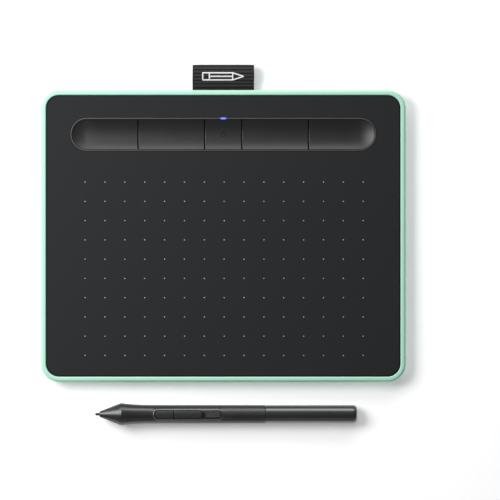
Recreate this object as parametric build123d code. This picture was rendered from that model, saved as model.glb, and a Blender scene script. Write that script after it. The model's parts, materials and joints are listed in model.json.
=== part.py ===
from build123d import *
import os
from math import asin, cos, degrees, radians, sin

# A small pen tablet and its pen, as they lie on a desk. Millimetres.
# +X is to the user's right, +Y away from the user, +Z up, and z = 0 is the desk.
# Shapes are drawn about the middle of the tablet. SET moves them so that the origin
# is the middle of the footprint of the tablet and the pen together.

# ---- driving dimensions of the tablet ----
WIDTH = 200.0
DEPTH = 160.0
CORNER = 10.0               # radius of the case corners, seen from above

UNDERSIDE_Z = 0.7           # the feet hold the case this far off the desk
FLOOR_Z = 2.2               # inside face of the rear cover's floor
LEDGE_Z = 6.9               # shelf that carries the top cover
PLATE_Z = 8.1               # top face of the top cover
SHEET_Z = 8.5               # drawing surface
RIM_Z = 8.8                 # highest point of the mint rim

ROLL_RUN = 8.5              # how far the underside's edge rolls in
ROLL_RISE = 4.5             # and up
RIM_WIDTH = 2.8
RIM_ROUND = 1.4
RIM_BEVEL = 0.4
LEDGE_WIDTH = 3.7
SHEET_CHAMFER = 0.15
SHEET_GAP = 0.15            # between the sheet and the frame round the keys

RIB_TOP = 5.4
RIB_THICKNESS = 1.0
RIBS_Y = (-60, -36, -12, 12, 32)
RIBS_X = (-70, -42, -14, 14, 42, 70)
RIB_SPAN_X = (-84, 84)
RIB_SPAN_Y = (-66, 36)
BATTERY_BAY = ((12, 72), (-34, 10))
LEAD_NOTCH = ((27, 35), (10, 40))
LEAD_NOTCH_Z = 3.4
PLATE_GAP = 0.6             # shadow gap between the rim and the black top

WELL_Y = 55.7               # middle line of the key well
WELL_LENGTH = 168.0
WELL_R = 9.2                # outside of the frame round the keys
SURROUND_WIDTH = 0.9
SURROUND_TOP = 8.6
SURROUND_FOOT = 6.3
SURROUND_CHAMFER = 0.25
SURROUND_FLANGE = 1.8       # how far the frame's flange runs under the top cover
LIGHT_SIZE = (3.9, SURROUND_WIDTH)
LIGHT_Y = WELL_Y + WELL_R - SURROUND_WIDTH / 2
LIGHT_FOOT_Z = 4.3
KEY_GAP = 0.2
KEY_SPLIT = 0.5
KEY_RIM_Z = 8.2             # top of a key at its outer edge
KEY_DISH_Z = 6.4            # lowest line of the dished keys
KEY_BASE_Z = 5.6
KEY_ROUND = 0.25
KEY_TRAVEL = 0.5
KEY_BOUNDS = {              # left and right of each key; the outermost lie beyond the well
    "express_key_1": (-84.3, -46.7),
    "express_key_2": (-46.7, -10.2),
    "power_key": (-10.2, 10.2),
    "express_key_3": (10.2, 46.7),
    "express_key_4": (46.7, 84.3),
}
PLUNGER_R = 1.5
PLUNGER_CLEAR = 0.1         # left between a pressed key's plunger and its switch

BOARD_Z = 2.8               # underside of the control board
BOARD_THICKNESS = 0.8
BOARD_TOP = BOARD_Z + BOARD_THICKNESS
DOME_R = 2.1
DOME_HEIGHT = 0.35
BOARD_SCREWS = ((-70.0, 64.0), (-20.0, 64.0), (20.0, 64.0), (76.0, 64.0))
BOARD_POST_R = 2.2
BOARD_STRIP = ((-80, 80), (49, 66.5))           # the long part under the keys
BOARD_WING = ((-83, -34), (66, 73.2))           # the part beside the socket
PROCESSOR = (-52, 69.5, 6, 6, 0.9)              # x, y, wide, deep, high
RADIO = (-41, 69.5, 10, 6, 1.4)
STATUS_LED = (0, LIGHT_Y, 1.6, 0.8, 0.6)
CONNECTOR = (29, 51.5, 4, 3, 1.3)

PORT_X = -75.4
PORT_Z = 4.4
PORT_RECESS = (11.0, 4.4)   # mouth of the plug recess, wide and high
PORT_DEPTH = 5.5
SOCKET = (7.6, 5.6, 2.6)    # socket shell, wide, deep and high
SOCKET_WALL = 0.3
SOCKET_MOUTH_Y = DEPTH / 2 - PORT_DEPTH
SOCKET_SLANT = 0.8          # bevel along the socket's two lower corners
HEEL = (2.6, 0.9, 0.9)      # the insert's block: half width, depth, half height
TONGUE_HALF = 1.9
TONGUE_Z = (-0.1, 0.5)
TONGUE_BACK = 0.6           # how far the tongue stays behind the socket's mouth

LOOP_WIDTH = 33.8
LOOP_REACH = 14.1           # how far the woven loop stands out of the rear edge
LOOP_PLY = 0.9
LOOP_R = 4.0
LOOP_Z = 4.6
LOOP_TAIL_Y = 70.7          # where the two plies end inside the case
LOOP_THROAT = 1.2           # where they part, behind the rear edge
CLAMP_Y = (70.8, 73.3)
ANVIL_Y = (70.7, 73.5)
PLY_GAP = 0.02
WEDGE_R = 0.1               # the narrow inner end of the loop's eye

FOOT_R = 6.35
FOOT_X = 87.9
FOOT_Y = 67.7
FOOT_SEAT_Z = 1.3           # bottom of the shallow recess that a foot sits in
FOOT_ROUND = 0.5
TOWER_R = 3.5               # boss over each foot that takes a case screw
TOWER_TOP = 3.7
HEAD_ROOM_R = 2.1
HEAD_SEAT_Z = 2.7
CASE_SCREW = (1.9, 1.37, 1.0, 6.2)              # head radius, head's low end, shank radius, tip
BOARD_SCREW = (1.4, 4.58, 0.75, 1.4)            # head radius, head's top end, shank radius, tip
COVER_BOSS_R = 2.5
COVER_BOSS_Z = 3.75

ACTIVE_Y = -18.1            # middle of the drawing area
SENSOR = (164.0, 106.0)
SENSOR_Z = 5.9
SHIELD_Z = (5.5, 5.85)
SHIELD_INSET = 1.0
SHIELD_CUT = 6.0            # left bare at the rear for the flat strip
FLEX_WIDTH = 12.0
FLEX_X = -44.0
FLEX_PATH = ((31.2, 5.85), (39.0, 5.85), (46.0, 3.75), (50.5, 3.75))
FLEX_BEND = 2.5
FLEX_THICKNESS = 0.1
BATTERY_X = (14.0, 70.0)
BATTERY_Y = (-32.0, 8.0)
BATTERY_Z = (2.3, 5.2)
BATTERY_CORNER = 2.0
WIRE_R = 0.55
WIRE_APART = 1.4
WIRE_BEND = 12.0
WIRE_PATH = ((29, 8), (29, 15), (32, 24), (32, 33), (29, 43), (29, 50))
WIRE_Z = 4.2

# ---- driving dimensions of the pen, measured from the nib's tip along its axis ----
PEN_TIP_X = -70.3
PEN_Y = -97.8
NIB_R = 0.75
NIB_LENGTH = 17.0
NIB_BORE = 0.95
CONE_FRONT = 2.4
CONE_FRONT_R = 1.5
CONE_REAR = 13.2
CONE_REAR_R = 5.8
SHOULDER = 14.4
SHOULDER_R = 6.1
BODY_R = 5.0
GRIP_END = 31.0             # the hollow grip runs out into the barrel
GRIP_END_R = 5.1            # which tapers from here down to BODY_R at its seam
BARREL_SEAM = 93.3
CAP_SEAM = 141.4
CAP_ROUND = 2.2
PEN_END = 143.8
BARREL_BORE = 4.2
SEAM_BEVEL = 0.15
SEAM_GAP = 0.1
SPIGOT = (90.0, 100.0)      # thin neck that joins the two barrels
SPIGOT_BORE = 3.6
CAP_PLUG = 5.0
BEZEL_FROM, BEZEL_TO = 31.7, 70.5
BEZEL_WIDTH = 6.3
BEZEL_TOP_R = 5.6
BEZEL_ROUND = 0.4
BUTTON_FROM, BUTTON_MID, BUTTON_TO = 33.1, 43.1, 58.9
BUTTON_WIDTH = 4.2
BUTTON_TOP_R = 5.85
BUTTON_GAP = 0.35
LABEL_FROM, LABEL_TO = 59.7, 69.3
LABEL_WIDTH = 4.0
LABEL_DEPTH = 0.2
CHUCK = (15.0, 21.0, 1.3)   # from, to and radius of the turned pieces inside
FERRITE = (6.2, 14.8, 1.7)
COIL = (9.0, 14.5, 2.5)
SENSOR_CAN = (21.4, 26.4, 2.5)
CARRIER = (17.0, 89.5)
CORE_Z = 0.3                # flat top of the core carrier
PEN_BOARD = (27.5, 88.0)
PEN_BOARD_HALF = 2.9
PEN_BOARD_THICKNESS = 0.8
PEN_BOARD_TOP = CORE_Z + PEN_BOARD_THICKNESS
SWITCHES = (38.0, 51.0)     # middle of the front and of the rear switch
SWITCH_HALF = (1.5, 1.3)
SWITCH_HEIGHT = 0.9
BUTTON_SPLIT = 0.15         # half of the gap between the two buttons
BUTTON_FOOT = 3.4
BUTTON_PLUNGER_R = 0.8
BUTTON_PLUNGER_FOOT = 2.45
HOLDER = (96.0, 122.0)
SPARE_NIBS_FROM = 104.0
SPARE_NIB_LENGTH = 19.5
SPARE_NIB_SPREAD = 2.0
LOW_Z = (Align.CENTER, Align.CENTER, Align.MIN)


# ---- small helpers ----
def slab(sketch, low, high):
    """A flat sketch made solid between two heights."""
    return Pos(0, 0, low) * extrude(sketch, high - low)


def block(x_range, y_range, z_range):
    """A box given by its lowest and highest corner along each axis."""
    (x0, x1), (y0, y1), (z0, z1) = x_range, y_range, z_range
    box = Box(x1 - x0, y1 - y0, z1 - z0)
    return Pos((x0 + x1) / 2, (y0 + y1) / 2, (z0 + z1) / 2) * box


def disc(radius, low, high, x=0.0, y=0.0):
    return Pos(x, y, 0) * slab(Circle(radius), low, high)


def rounded_plate(inset, low, high):
    """A plate that follows the case outline at an even distance inside it."""
    outline = RectangleRounded(WIDTH - 2 * inset, DEPTH - 2 * inset, CORNER - inset)
    return slab(outline, low, high)


def well_prism(radius, low, high):
    """The key well's pill shape, with its ends rounded to the radius given."""
    length = WELL_LENGTH - 2 * (WELL_R - radius)
    return Pos(0, WELL_Y, 0) * slab(SlotOverall(length, 2 * radius), low, high)


def corners(x, y):
    return [(sx * x, sy * y) for sx in (-1, 1) for sy in (-1, 1)]


# ---- rear cover and what is screwed or glued to it ----
def rim_section():
    """The case's edge, drawn inwards from the outside face, for a turn about the corner."""
    def at(inset, z):
        return (CORNER - inset, z)

    roll = EllipticalCenterArc(
        at(ROLL_RUN, UNDERSIDE_Z + ROLL_RISE), ROLL_RUN, ROLL_RISE, start_angle=270, arc_size=90)
    shoulder = RIM_Z - RIM_ROUND
    ledge_in = RIM_WIDTH + LEDGE_WIDTH
    edge = [
        roll,
        Line(at(0, UNDERSIDE_Z + ROLL_RISE), at(0, shoulder)),
        CenterArc(at(RIM_ROUND, shoulder), RIM_ROUND, 0, 90),
        Polyline(
            at(RIM_ROUND, RIM_Z), at(RIM_WIDTH - RIM_BEVEL, RIM_Z), at(RIM_WIDTH, RIM_Z - RIM_BEVEL),
            at(RIM_WIDTH, LEDGE_Z), at(ledge_in, LEDGE_Z), at(ledge_in, FLOOR_Z),
            at(ROLL_RUN, FLOOR_Z), at(ROLL_RUN, UNDERSIDE_Z)),
    ]
    return Plane.XZ * make_face(Curve() + edge)


def case_edge():
    """The edge section carried round the case: four straight runs and four turned corners."""
    section = rim_section()
    turned_corner = revolve(section, Axis.Z, 90)
    straight_x = DEPTH - 2 * CORNER
    straight_y = WIDTH - 2 * CORNER
    half_x, half_y = WIDTH / 2 - CORNER, DEPTH / 2 - CORNER
    ring = []
    for turn, (cx, cy) in enumerate(((half_x, half_y), (-half_x, half_y),
                                     (-half_x, -half_y), (half_x, -half_y))):
        length = straight_x if turn % 2 == 0 else straight_y
        here = Pos(cx, cy, 0) * Rot(0, 0, 90 * turn)
        ring.append(here * turned_corner)
        ring.append(here * extrude(section, length, dir=(0, -1, 0)))
    return Part() + ring


def ribs():
    """Low walls that hold up the shield plate, left out round the battery."""
    half = RIB_THICKNESS / 2
    height = (FLOOR_Z, RIB_TOP)
    walls = [block(RIB_SPAN_X, (y - half, y + half), height) for y in RIBS_Y]
    walls += [block((x - half, x + half), RIB_SPAN_Y, height) for x in RIBS_X]
    return (Part() + walls) - block(*BATTERY_BAY, height) - block(*LEAD_NOTCH, (LEAD_NOTCH_Z, RIB_TOP))


def rear_cover():
    """The mint tub: edge, floor, ribs and bosses, less the seats, the port and the loop's slot."""
    floor = slab(RectangleRounded(WIDTH - 2 * ROLL_RUN, DEPTH - 2 * ROLL_RUN, CORNER - ROLL_RUN),
                 UNDERSIDE_Z, FLOOR_Z)
    half_loop = LOOP_WIDTH / 2
    cover = case_edge() + floor + ribs()
    cover += [disc(TOWER_R, FLOOR_Z, TOWER_TOP, x, y) for x, y in corners(FOOT_X, FOOT_Y)]
    cover += [disc(BOARD_POST_R, FLOOR_Z, BOARD_Z, x, y) for x, y in BOARD_SCREWS]
    cover += block((-half_loop, half_loop), ANVIL_Y, (FLOOR_Z, LOOP_Z - LOOP_PLY))

    for x, y in corners(FOOT_X, FOOT_Y):
        cover -= disc(FOOT_R + 0.1, 0, FOOT_SEAT_Z, x, y)
        cover -= disc(HEAD_ROOM_R, FOOT_SEAT_Z, HEAD_SEAT_Z, x, y)
        cover -= disc(CASE_SCREW[2] + 0.15, HEAD_SEAT_Z, TOWER_TOP, x, y)
    for x, y in BOARD_SCREWS:
        cover -= disc(BOARD_SCREW[2], BOARD_SCREW[3] - 0.1, BOARD_Z, x, y)

    wide, deep, high = SOCKET
    recess = Plane.XZ * SlotOverall(*PORT_RECESS)
    cover -= Pos(PORT_X, DEPTH / 2, PORT_Z) * extrude(recess, PORT_DEPTH)
    cover -= block((PORT_X - wide / 2, PORT_X + wide / 2), (SOCKET_MOUTH_Y - deep, DEPTH / 2),
                   (PORT_Z - high / 2, PORT_Z + high / 2))
    cover -= block((-half_loop - 0.3, half_loop + 0.3), (ANVIL_Y[1], DEPTH / 2 + 1),
                   (LOOP_Z - LOOP_PLY, LOOP_Z + LOOP_PLY))
    return cover


def foot(x, y):
    pad = disc(FOOT_R, 0, FOOT_SEAT_Z, x, y)
    return fillet(pad.edges().group_by(Axis.Z)[0], FOOT_ROUND)


def screw(x, y, head_r, head_end, shank_r, tip):
    """A pan-head screw. Its head points down if the tip is above it, and up if below."""
    head_height = 0.7 * head_r
    seat = head_end + head_height if tip > head_end else head_end - head_height
    head = disc(head_r, *sorted((head_end, seat)), x, y)
    return head + disc(shank_r, *sorted((seat, tip)), x, y)


# ---- black top, key well and keys ----
def top_cover():
    plate = rounded_plate(RIM_WIDTH + PLATE_GAP, LEDGE_Z, PLATE_Z)
    plate -= well_prism(WELL_R, LEDGE_Z, PLATE_Z)
    for x, y in corners(FOOT_X, FOOT_Y):
        plate += disc(COVER_BOSS_R, COVER_BOSS_Z, LEDGE_Z, x, y)
        plate -= disc(CASE_SCREW[2], COVER_BOSS_Z, CASE_SCREW[3] + 0.1, x, y)
    return plate


def surface_sheet():
    sheet = rounded_plate(RIM_WIDTH + PLATE_GAP, PLATE_Z, SHEET_Z)
    sheet -= well_prism(WELL_R + SHEET_GAP, PLATE_Z, SHEET_Z)
    outer_top = sheet.edges().group_by(Axis.Z)[-1].filter_by(
        lambda edge: abs(edge.center().Y - WELL_Y) > 2 * WELL_R or abs(edge.center().X) > WIDTH * 0.45)
    return chamfer(outer_top, SHEET_CHAMFER)


def key_surround():
    """The frame round the keys: a thin ring on a flange, cut for the light window."""
    ring = well_prism(WELL_R, SURROUND_FOOT, SURROUND_TOP)
    ring = chamfer(ring.edges().group_by(Axis.Z)[-1], SURROUND_CHAMFER)
    ring += well_prism(WELL_R + SURROUND_FLANGE, SURROUND_FOOT, LEDGE_Z)
    ring -= well_prism(WELL_R - SURROUND_WIDTH, SURROUND_FOOT, SURROUND_TOP)
    wide = LIGHT_SIZE[0] / 2
    return ring - block((-wide, wide), (WELL_Y + WELL_R - 2, WELL_Y + WELL_R), (SURROUND_FOOT, SURROUND_TOP))


def light_guide():
    wide, deep = LIGHT_SIZE
    outline = Pos(0, LIGHT_Y, 0) * RectangleRounded(wide, deep, 0.3)
    return slab(outline, LIGHT_FOOT_Z, SURROUND_TOP - 0.05)


def trough():
    """The dish cut along all five keys: a long round bar with ball ends."""
    half = WELL_R - SURROUND_WIDTH - KEY_GAP
    depth = KEY_RIM_Z - KEY_DISH_Z
    radius = (half**2 + depth**2) / (2 * depth)
    reach = WELL_LENGTH / 2 - WELL_R
    axis_z = KEY_DISH_Z + radius
    bar = Pos(0, WELL_Y, axis_z) * Rot(0, 90, 0) * Cylinder(radius, 2 * reach)
    balls = [Pos(side * reach, WELL_Y, axis_z) * Sphere(radius) for side in (-1, 1)]
    return bar + balls


def key(left, right):
    """One key: a slice of the dished pill, with a lip under the frame and a plunger."""
    key_r = WELL_R - SURROUND_WIDTH - KEY_GAP
    cap = well_prism(key_r, KEY_BASE_Z, KEY_RIM_Z) - trough()
    lip = well_prism(WELL_R - KEY_GAP, KEY_BASE_Z, SURROUND_FOOT - 0.1)
    x0, x1 = left + KEY_SPLIT / 2, right - KEY_SPLIT / 2
    shape = (cap + lip) & block((x0, x1), (WELL_Y - WELL_R, WELL_Y + WELL_R), (0, RIM_Z))
    shape -= block((-3, 3), (LIGHT_Y - SURROUND_WIDTH / 2 - KEY_GAP, LIGHT_Y + 3), (0, RIM_Z))
    cut_edges = [edge for edge in shape.edges()
                 if edge.center().Z > KEY_DISH_Z - 0.1 and
                 (abs(edge.center().X - x0) < 0.01 or abs(edge.center().X - x1) < 0.01)
                 and edge.geom_type != GeomType.LINE]
    shape = fillet(cut_edges, KEY_ROUND)
    plunger_foot = BOARD_TOP + DOME_HEIGHT + KEY_TRAVEL + PLUNGER_CLEAR
    return shape + disc(PLUNGER_R, plunger_foot, KEY_BASE_Z, (left + right) / 2, WELL_Y)


# ---- electronics inside the tablet ----
def control_board():
    thickness = (BOARD_Z, BOARD_TOP)
    board = block(*BOARD_STRIP, thickness) + block(*BOARD_WING, thickness)
    wide, deep, _ = SOCKET
    board -= block((PORT_X - wide / 2 - 0.1, PORT_X + wide / 2 + 0.1),
                   (SOCKET_MOUTH_Y - deep - 0.1, DEPTH / 2), thickness)
    for x, y in BOARD_SCREWS:
        board -= disc(BOARD_SCREW[2] + 0.1, *thickness, x, y)
    return board


def key_switches():
    middles = [(left + right) / 2 for left, right in KEY_BOUNDS.values()]
    domes = [disc(DOME_R, BOARD_TOP, BOARD_TOP + DOME_HEIGHT, x, WELL_Y) for x in middles]
    return Part() + domes


def chip(x, y, wide, deep, height):
    """A plain component on the control board."""
    return block((x - wide / 2, x + wide / 2), (y - deep / 2, y + deep / 2),
                 (BOARD_TOP, BOARD_TOP + height))


def usb_socket_shell():
    wide, deep, high = SOCKET
    y0, y1 = SOCKET_MOUTH_Y - deep, SOCKET_MOUTH_Y
    low, top = PORT_Z - high / 2, PORT_Z + high / 2
    half = wide / 2
    shell = block((PORT_X - half, PORT_X + half), (y0, y1), (low, top))
    bottom_corners = shell.edges().filter_by(Axis.Y).group_by(Axis.Z)[0]
    shell = chamfer(bottom_corners, SOCKET_SLANT)
    inside = block((PORT_X - half + SOCKET_WALL, PORT_X + half - SOCKET_WALL),
                   (y0 + SOCKET_WALL, y1), (low + SOCKET_WALL, top - SOCKET_WALL))
    inside = chamfer(inside.edges().filter_by(Axis.Y).group_by(Axis.Z)[0], SOCKET_SLANT - 0.1)
    return shell - inside


def usb_socket_insert():
    """The insulator in the socket: a block at the back and the contact tongue on it."""
    half, deep, half_high = HEEL
    y0 = SOCKET_MOUTH_Y - SOCKET[1] + SOCKET_WALL
    heel = block((PORT_X - half, PORT_X + half), (y0, y0 + deep), (PORT_Z - half_high, PORT_Z + half_high))
    tongue = block((PORT_X - TONGUE_HALF, PORT_X + TONGUE_HALF), (y0, SOCKET_MOUTH_Y - TONGUE_BACK),
                   (PORT_Z + TONGUE_Z[0], PORT_Z + TONGUE_Z[1]))
    return heel + tongue


def digitizer_board():
    wide, deep = SENSOR
    return block((-wide / 2, wide / 2), (ACTIVE_Y - deep / 2, ACTIVE_Y + deep / 2), (SENSOR_Z, LEDGE_Z))


def shield_plate():
    half = SENSOR[0] / 2 - SHIELD_INSET
    front, rear = ACTIVE_Y - SENSOR[1] / 2, ACTIVE_Y + SENSOR[1] / 2
    return block((-half, half), (front + SHIELD_INSET, rear - SHIELD_INSET - SHIELD_CUT), SHIELD_Z)


def sensor_flex():
    """A flat strip that drops from the sensor's edge to the control board."""
    path = FilletPolyline(*FLEX_PATH, radius=FLEX_BEND)
    strip = Plane.YZ * trace(path, FLEX_THICKNESS)
    return Pos(FLEX_X, 0, 0) * extrude(strip, FLEX_WIDTH)


def battery_cell():
    cell = block(BATTERY_X, BATTERY_Y, BATTERY_Z)
    return fillet(cell.edges().filter_by(Axis.Z), BATTERY_CORNER)


def battery_lead():
    """Two insulated wires from the cell's rear edge to the plug on the control board."""
    wires = []
    for side in (-WIRE_APART / 2, WIRE_APART / 2):
        route = FilletPolyline(*[(x + side, y, WIRE_Z) for x, y in WIRE_PATH], radius=WIRE_BEND)
        start = Plane(origin=route @ 0, z_dir=route % 0)
        wires.append(sweep(start * Circle(WIRE_R), path=route))
    return Part() + wires


# ---- woven loop for the pen ----
def pen_loop():
    """A ribbon folded back on itself: two plies in the wall, a teardrop outside it."""
    def drop(y, small_r, y_end, end_r):
        """The outline that wraps a small circle at one place and a large one at another."""
        circles = [Pos(y, LOOP_Z) * Circle(small_r), Pos(y_end, LOOP_Z) * Circle(end_r)]
        return make_hull([edge for circle in circles for edge in circle.edges()])

    throat = DEPTH / 2 + LOOP_THROAT
    middle = DEPTH / 2 + LOOP_REACH - LOOP_R
    half_tail = LOOP_PLY - PLY_GAP
    outer = drop(throat, half_tail, middle, LOOP_R)
    inner = drop(throat + LOOP_PLY, WEDGE_R, middle, LOOP_R - LOOP_PLY)
    tail = Pos((throat + LOOP_TAIL_Y) / 2, LOOP_Z) * Rectangle(throat - LOOP_TAIL_Y, 2 * half_tail)
    profile = Plane.YZ * (outer + tail - inner)
    return extrude(profile, LOOP_WIDTH / 2, both=True)


def loop_clamp_bar():
    return block((-LOOP_WIDTH / 2, LOOP_WIDTH / 2), CLAMP_Y, (LOOP_Z + LOOP_PLY, LEDGE_Z))


# ---- pen, drawn with its axis on X and its tip at the origin ----
def turned(*points):
    """A solid turned about the pen's axis from points of (distance from the tip, radius)."""
    outline = make_face(Polyline(*points, close=True))
    return revolve(Plane.XZ * outline, Axis.X)


def tube(s0, s1, outer, inner=0.0):
    return turned((s0, inner), (s1, inner), (s1, outer), (s0, outer))


def pill(s0, s1, width):
    """A pill shape seen from above, from one distance to another along the pen."""
    return Pos((s0 + s1) / 2, 0) * SlotOverall(s1 - s0, width)


def nib():
    rod = tube(NIB_R, NIB_LENGTH, NIB_R)
    return rod + Pos(NIB_R, 0, 0) * Sphere(NIB_R)


def nib_chuck():
    return tube(*CHUCK) - tube(CHUCK[0], NIB_LENGTH, NIB_R)


def nose_cone():
    """The cone round the nib, with a sleeve that plugs into the barrel."""
    shell = turned((CONE_FRONT, NIB_BORE), (CONE_FRONT, CONE_FRONT_R), (CONE_REAR, CONE_REAR_R),
                   (CONE_REAR, BARREL_BORE), (CONE_REAR + 3.3, BARREL_BORE), (CONE_REAR + 3.3, 3.5),
                   (10.1, 3.5), (3.6, NIB_BORE))
    tip_edges = shell.edges().filter_by(GeomType.CIRCLE).filter_by(
        lambda edge: abs(edge.radius - CONE_FRONT_R) < 0.01)
    return fillet(tip_edges, 0.3)


def front_barrel():
    """The grip: a sharp shoulder, a hollow curve behind it, then a barely tapered barrel."""
    front = CONE_REAR + SEAM_GAP
    spigot_front, spigot_rear = SPIGOT
    outline = [
        Polyline((front, BARREL_BORE), (front, CONE_REAR_R + 0.05), (SHOULDER, SHOULDER_R)),
        Spline((SHOULDER, SHOULDER_R), (SHOULDER + 5.5, BODY_R + 0.5), (GRIP_END, GRIP_END_R),
               tangents=((1, -0.14), (1, 0))),
        Polyline((GRIP_END, GRIP_END_R), (BARREL_SEAM - SEAM_BEVEL, BODY_R),
                 (BARREL_SEAM, BODY_R - SEAM_BEVEL), (BARREL_SEAM, BARREL_BORE),
                 (spigot_rear, BARREL_BORE), (spigot_rear, SPIGOT_BORE),
                 (spigot_front, SPIGOT_BORE), (spigot_front, BARREL_BORE), (front, BARREL_BORE)),
    ]
    shell = revolve(Plane.XZ * make_face(Curve() + outline), Axis.X)
    return shell - slab(pill(BEZEL_FROM, BEZEL_TO, BEZEL_WIDTH), 0, 10)


def along_pen(radius):
    """A long round bar on the pen's axis, used to crown the pieces on its top."""
    return tube(0, PEN_END, radius)


def button_bezel():
    """The raised island round the two buttons, with a shallow flat behind them."""
    foot_z = 3.3
    frame = slab(pill(BEZEL_FROM, BEZEL_TO, BEZEL_WIDTH), foot_z, 7) & along_pen(BEZEL_TOP_R)
    top_edges = frame.edges().filter_by(lambda edge: edge.center().Z > foot_z + 0.9)
    frame = fillet(top_edges, BEZEL_ROUND)
    hole = pill(BUTTON_FROM - BUTTON_GAP, BUTTON_TO + BUTTON_GAP, BUTTON_WIDTH + 2 * BUTTON_GAP)
    frame -= slab(hole, 0, 10)
    label_flat = slab(pill(LABEL_FROM, LABEL_TO, LABEL_WIDTH), BEZEL_TOP_R - LABEL_DEPTH, 7)
    return frame - label_flat


def side_button(s0, s1, plunger_s):
    """A crowned half of the rocker, with a plunger over its switch."""
    outline = pill(BUTTON_FROM, BUTTON_TO, BUTTON_WIDTH)
    button = slab(outline, BUTTON_FOOT, 7) & along_pen(BUTTON_TOP_R)
    button &= block((s0, s1), (-BODY_R, BODY_R), (0, 10))
    button = fillet(button.edges().group_by(Axis.Z)[-1], 0.3)
    return button + disc(BUTTON_PLUNGER_R, BUTTON_PLUNGER_FOOT, BUTTON_FOOT, plunger_s)


def nib_rods(radius, length):
    """Three rods for spare nibs, a third of a turn apart round the pen's axis."""
    rods = []
    for angle in (90, 210, 330):
        y = SPARE_NIB_SPREAD * cos(radians(angle))
        z = SPARE_NIB_SPREAD * sin(radians(angle))
        rod = Cylinder(radius, length, align=LOW_Z)
        rods.append(Pos(SPARE_NIBS_FROM, y, z) * Rot(0, 90, 0) * rod)
    return Part() + rods


def nib_holder():
    """The store for spare nibs, open towards the rear of the pen."""
    return tube(*HOLDER, SPIGOT_BORE) - nib_rods(NIB_R + 0.1, PEN_END - SPARE_NIBS_FROM)


def rear_barrel():
    """The rear tube, slid over the spigot and bevelled at the seam."""
    front, bore = BARREL_SEAM + SEAM_GAP, BARREL_BORE + SEAM_GAP
    return turned((front, bore), (front, BODY_R - SEAM_BEVEL), (front + SEAM_BEVEL, BODY_R),
                  (CAP_SEAM, BODY_R), (CAP_SEAM, bore))


def end_cap():
    """The rounded plug at the tail, with a small hole that pulls a worn nib."""
    plug_r, cap_r = BARREL_BORE + SEAM_GAP, BODY_R - 0.05
    cap = turned((CAP_SEAM - CAP_PLUG, 0), (CAP_SEAM - CAP_PLUG, plug_r), (CAP_SEAM, plug_r),
                 (CAP_SEAM, cap_r), (PEN_END, cap_r), (PEN_END, 0))
    rim = cap.edges().filter_by(GeomType.CIRCLE).group_by(Axis.X)[-1]
    return fillet(rim, CAP_ROUND) - tube(PEN_END - 4, PEN_END, NIB_R + 0.1)


def core_carrier():
    """A long half-round tray; its front pocket lets the chuck and the sensor in."""
    tray_r = BARREL_BORE - 0.1
    tray = tube(*CARRIER, tray_r) & block(CARRIER, (-BODY_R, BODY_R), (-BODY_R, CORE_Z))
    return tray - tube(CARRIER[0], SENSOR_CAN[1], SENSOR_CAN[2] + 0.05)


def side_switches():
    half_long, half_wide = SWITCH_HALF
    height = (PEN_BOARD_TOP, PEN_BOARD_TOP + SWITCH_HEIGHT)
    return Part() + [block((s - half_long, s + half_long), (-half_wide, half_wide), height) for s in SWITCHES]


def pen_parts():
    board_width = (-PEN_BOARD_HALF, PEN_BOARD_HALF)
    front_switch, rear_switch = SWITCHES
    return {
        "nib": nib(),
        "nib_chuck": nib_chuck(),
        "nose_cone": nose_cone(),
        "ferrite_core": tube(*FERRITE, NIB_BORE),
        "resonance_coil": tube(*COIL, FERRITE[2]),
        "pressure_sensor": tube(*SENSOR_CAN),
        "core_carrier": core_carrier(),
        "pen_board": block(PEN_BOARD, board_width, (CORE_Z, PEN_BOARD_TOP)),
        "side_switches": side_switches(),
        "front_barrel": front_barrel(),
        "button_bezel": button_bezel(),
        "side_button_front": side_button(BUTTON_FROM, BUTTON_MID - BUTTON_SPLIT, front_switch),
        "side_button_rear": side_button(BUTTON_MID + BUTTON_SPLIT, BUTTON_TO, rear_switch),
        "nib_holder": nib_holder(),
        "spare_nibs": nib_rods(NIB_R, SPARE_NIB_LENGTH),
        "rear_barrel": rear_barrel(),
        "end_cap": end_cap(),
    }


def pen_place():
    """The pen lies on its shoulder and on its tail, so its axis slopes down to the rear."""
    slope = asin((SHOULDER_R - BODY_R) / (CAP_SEAM - SHOULDER))
    lift = SHOULDER_R * cos(slope) + SHOULDER * sin(slope)
    return Pos(PEN_TIP_X, PEN_Y, lift) * Rot(0, degrees(slope), 0)


def tablet_parts():
    feet = {}
    for depth_name, sy in (("front", -1), ("rear", 1)):
        for side_name, sx in (("left", -1), ("right", 1)):
            feet[f"foot_{depth_name}_{side_name}"] = foot(sx * FOOT_X, sy * FOOT_Y)
    case_screws = [screw(x, y, *CASE_SCREW) for x, y in corners(FOOT_X, FOOT_Y)]
    board_screws = [screw(x, y, *BOARD_SCREW) for x, y in BOARD_SCREWS]
    return {
        "rear_cover": rear_cover(),
        "top_cover": top_cover(),
        "surface_sheet": surface_sheet(),
        "key_surround": key_surround(),
        **{name: key(*bounds) for name, bounds in KEY_BOUNDS.items()},
        "light_guide": light_guide(),
        "pen_loop": pen_loop(),
        "loop_clamp_bar": loop_clamp_bar(),
        **feet,
        "case_screws": Part() + case_screws,
        "board_screws": Part() + board_screws,
        "control_board": control_board(),
        "key_switches": key_switches(),
        "status_led": chip(*STATUS_LED),
        "processor_chip": chip(*PROCESSOR),
        "radio_module": chip(*RADIO),
        "usb_socket_shell": usb_socket_shell(),
        "usb_socket_insert": usb_socket_insert(),
        "digitizer_board": digitizer_board(),
        "shield_plate": shield_plate(),
        "sensor_flex": sensor_flex(),
        "battery_cell": battery_cell(),
        "battery_lead": battery_lead(),
        "battery_connector": chip(*CONNECTOR),
    }


# ---- the whole set, written out ----
SET = Pos(0, -(DEPTH / 2 + LOOP_REACH + PEN_Y - SHOULDER_R) / 2, 0)

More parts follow.
